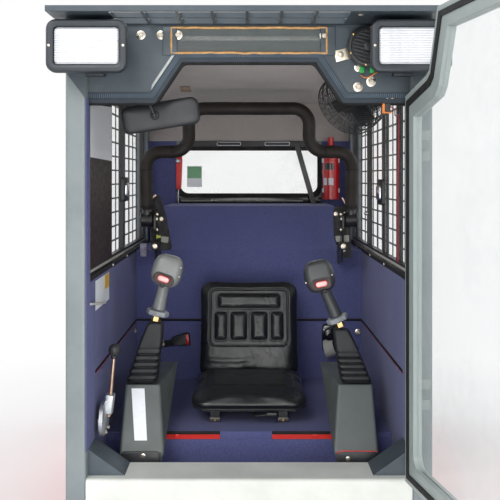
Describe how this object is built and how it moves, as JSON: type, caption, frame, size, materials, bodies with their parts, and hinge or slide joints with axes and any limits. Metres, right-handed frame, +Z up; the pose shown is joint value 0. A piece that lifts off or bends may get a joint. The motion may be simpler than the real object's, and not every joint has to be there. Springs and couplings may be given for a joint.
{
  "type": "skid steer loader operator cab",
  "caption": "Operator cab of a small loader with a swung front door, lap bar, suspended-lever consoles, sliding seat, mesh side guards and a glazed rear wall.",
  "frame": {"origin": "centre of the base bolt pattern, on the underside of the base rails", "axes": "+Z up; +Y from the door opening back into the cab; +X towards the side that carries the door hinges"},
  "size_m": [1.2107, 2.563, 1.69],
  "materials": {
    "header_grey": "satin dark blue-grey paint",
    "cab_grey": "satin grey paint, worn at the edges",
    "door_grey": "satin light grey paint",
    "sill_grey": "pale warm grey paint",
    "machine_red": "gloss red paint",
    "black_steel": "satin black paint",
    "carpet": "navy needle-felt carpet",
    "headliner": "warm grey felt",
    "black_rubber": "matte black rubber",
    "foam": "black-brown foam sleeve",
    "black_plastic": "grained black plastic",
    "pod_plastic": "dark grey-green moulded plastic",
    "glass": "clear safety glass",
    "lens": "ribbed clear lens",
    "mirror": "silvered glass",
    "brass": "plated brass",
    "bare_metal": "cast aluminium and worn steel",
    "vinyl": "black vinyl",
    "bottle_red": "gloss red paint"
  },
  "bodies": {
    "cab": {"header_plate": "header_grey", "visor_guard": "header_grey", "roof_panel": "header_grey", "door_gussets": "header_grey", "front_pillars": "cab_grey", "left_side_frame": "cab_grey", "right_side_frame": "cab_grey", "rear_wall": "cab_grey", "door_hinge_fixed": "door_grey", "front_sill": "sill_grey", "base_frame": "machine_red", "tub_shell": "machine_red", "seat_box": "machine_red", "left_window_guard": "black_steel", "right_window_guard": "black_steel", "bar_brackets": "black_steel", "seat_rails": "black_steel", "rear_strut": "black_steel", "fan_cage": "black_steel", "extinguisher_bracket": "black_steel", "platform_carpet": "carpet", "lower_carpet": "carpet", "upper_bulkhead": "carpet", "side_carpets": "carpet", "shelf_box": "carpet", "headliner": "headliner", "seam_seal": "black_rubber", "header_edge_trim": "black_rubber", "rear_window_rubber": "black_rubber", "lever_boots": "black_rubber", "joysticks": "black_plastic", "brake_knob": "black_plastic", "mirror_housing": "black_plastic", "window_frames": "black_plastic", "rear_light": "black_plastic", "seat_belt": "black_plastic", "work_lamps": "black_plastic", "horn": "black_plastic", "pods": "pod_plastic", "cab_glass": "glass", "lamp_lenses": "lens", "mirror_glass": "mirror", "lever_nuts": "brass", "brake_lever": "bare_metal", "extinguisher": "bottle_red"},
    "door": {"door_frame": "door_grey", "door_glass": "glass", "door_seal": "black_rubber", "door_handle": "black_plastic", "door_hinge_leaves": "door_grey"},
    "lap_bar": {"lap_bar": "foam", "lap_bar_hubs": "black_steel"},
    "fan": {"fan_rotor": "black_plastic"},
    "seat": {"seat_frame": "black_steel", "seat_cushion": "vinyl", "seat_back": "vinyl"}
  },
  "joints": [
    {"name": "door_hinge", "type": "hinge", "parent": "cab", "child": "door", "pos_m": [0.487, -0.812, 0.565], "axis": [0, 0, 1], "range_deg": [-100, 8]},
    {"name": "lap_bar_pivot", "type": "hinge", "parent": "cab", "child": "lap_bar", "pos_m": [0, 0.11, 1.03], "axis": [1, 0, 0], "range_deg": [0, 110]},
    {"name": "fan_spin", "type": "hinge", "parent": "cab", "child": "fan", "pos_m": [0.33, -0.6, 1.447], "axis": [-0.3491, 0.8479, -0.3991], "continuous": true},
    {"name": "seat_slide", "type": "slide", "parent": "cab", "child": "seat", "axis": [0, 1, 0], "range_m": [-0.09, 0.03]}
  ]
}
